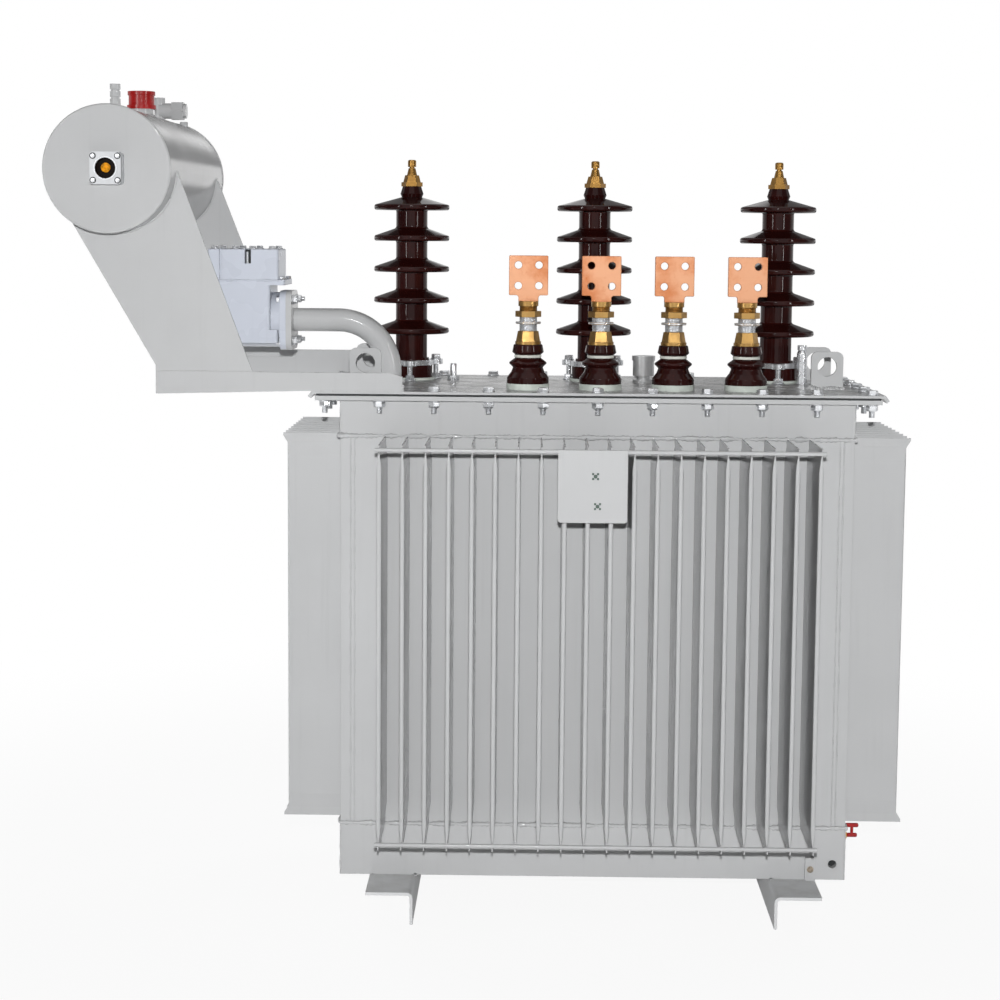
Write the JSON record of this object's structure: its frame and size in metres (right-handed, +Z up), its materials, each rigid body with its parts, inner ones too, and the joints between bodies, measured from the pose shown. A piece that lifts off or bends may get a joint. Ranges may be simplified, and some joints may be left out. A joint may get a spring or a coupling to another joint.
{
  "type": "oil-filled power transformer",
  "caption": "Free-standing oil-filled power transformer: finned tank on skids, porcelain bushings, copper palms and an oil conservator with relay held out on one end.",
  "frame": {"origin": "on the floor under the middle of the whole object's box", "axes": "+X to the right seen from the low-voltage front, +Y to the high-voltage rear, +Z up"},
  "size_m": [1.734, 0.8641, 1.6793],
  "materials": {
    "tank_paint": "satin light grey enamel with slight orange peel",
    "relay_paint": "satin pale blue-grey enamel on a casting",
    "brown_porcelain": "gloss dark brown glaze",
    "brass": "turned bright brass",
    "copper": "bright rolled copper, lightly stained",
    "zinc_steel": "zinc-plated steel",
    "bare_aluminium": "turned bare aluminium",
    "red_plastic": "gloss red moulding",
    "gasket_rubber": "dull dark grey rubber"
  },
  "bodies": {
    "root": {"breather_valve": "tank_paint", "conservator_front_end": "tank_paint", "conservator_pipe": "tank_paint", "conservator_rear_end": "tank_paint", "conservator_shell": "tank_paint", "cover_gasket": "gasket_rubber", "cover_plate": "tank_paint", "drain_handle": "red_plastic", "drain_valve": "brass", "filler_cap": "red_plastic", "filler_neck": "tank_paint", "filling_pot": "bare_aluminium", "fin_rods": "tank_paint", "front_fin_wall": "tank_paint", "front_support": "tank_paint", "hv_bushing_left": "brown_porcelain", "hv_bushing_middle": "brown_porcelain", "hv_bushing_right": "brown_porcelain", "hv_clamps": "zinc_steel", "hv_terminals": "brass", "left_fin_wall": "tank_paint", "left_foot": "tank_paint", "lifting_lugs": "tank_paint", "lv_bushing_1": "brown_porcelain", "lv_bushing_2": "brown_porcelain", "lv_bushing_3": "brown_porcelain", "lv_bushing_4": "brown_porcelain", "lv_palm_1": "copper", "lv_palm_2": "copper", "lv_palm_3": "copper", "lv_palm_4": "copper", "lv_studs": "brass", "nameplate_bracket": "tank_paint", "oil_gauge": "zinc_steel", "oil_pipe": "tank_paint", "rear_fin_wall": "tank_paint", "rear_support": "tank_paint", "relay_body": "relay_paint", "relay_lid": "relay_paint", "right_fin_wall": "tank_paint", "right_foot": "tank_paint", "tank_body": "tank_paint", "tank_flange": "tank_paint", "thermometer_pocket": "zinc_steel", "vent_stub": "tank_paint"}
  },
  "joints": []
}
